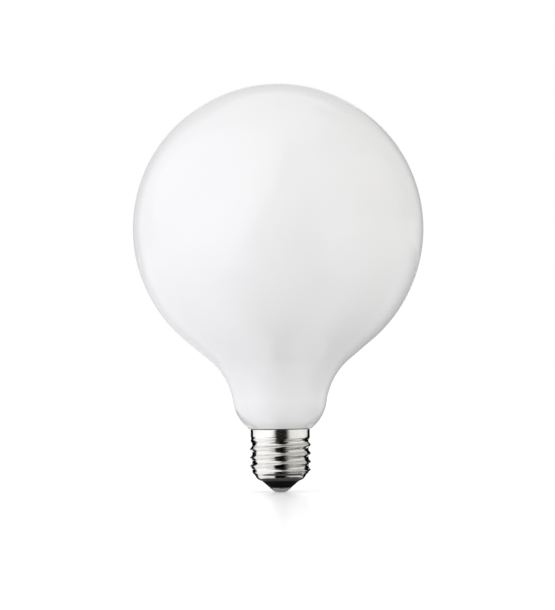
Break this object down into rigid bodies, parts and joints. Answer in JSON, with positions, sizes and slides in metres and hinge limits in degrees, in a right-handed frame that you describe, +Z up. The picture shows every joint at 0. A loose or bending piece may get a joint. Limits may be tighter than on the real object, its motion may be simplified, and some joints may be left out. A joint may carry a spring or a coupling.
{
  "type": "globe bulb",
  "caption": "Globe bulb of opal white glass with a tapered neck, on a short metal screw cap with a centre contact, to light a room from a lamp holder.",
  "frame": {"origin": "tip of the centre contact, on the axis of the bulb", "axes": "+Z runs up the axis from the contact to the crown of the globe; +X is the side where the thread has its lowest whole crest"},
  "size_m": [0.125, 0.125, 0.1755],
  "materials": {
    "opal_glass": "gloss",
    "plated_shell": "bright",
    "black_glass": "gloss",
    "contact_metal": "satin",
    "tin_solder": "satin"
  },
  "bodies": {
    "root": {"glass_globe": "opal_glass", "screw_shell": "plated_shell", "insulator": "black_glass", "contact_plate": "contact_metal", "contact_solder": "tin_solder"}
  },
  "joints": []
}
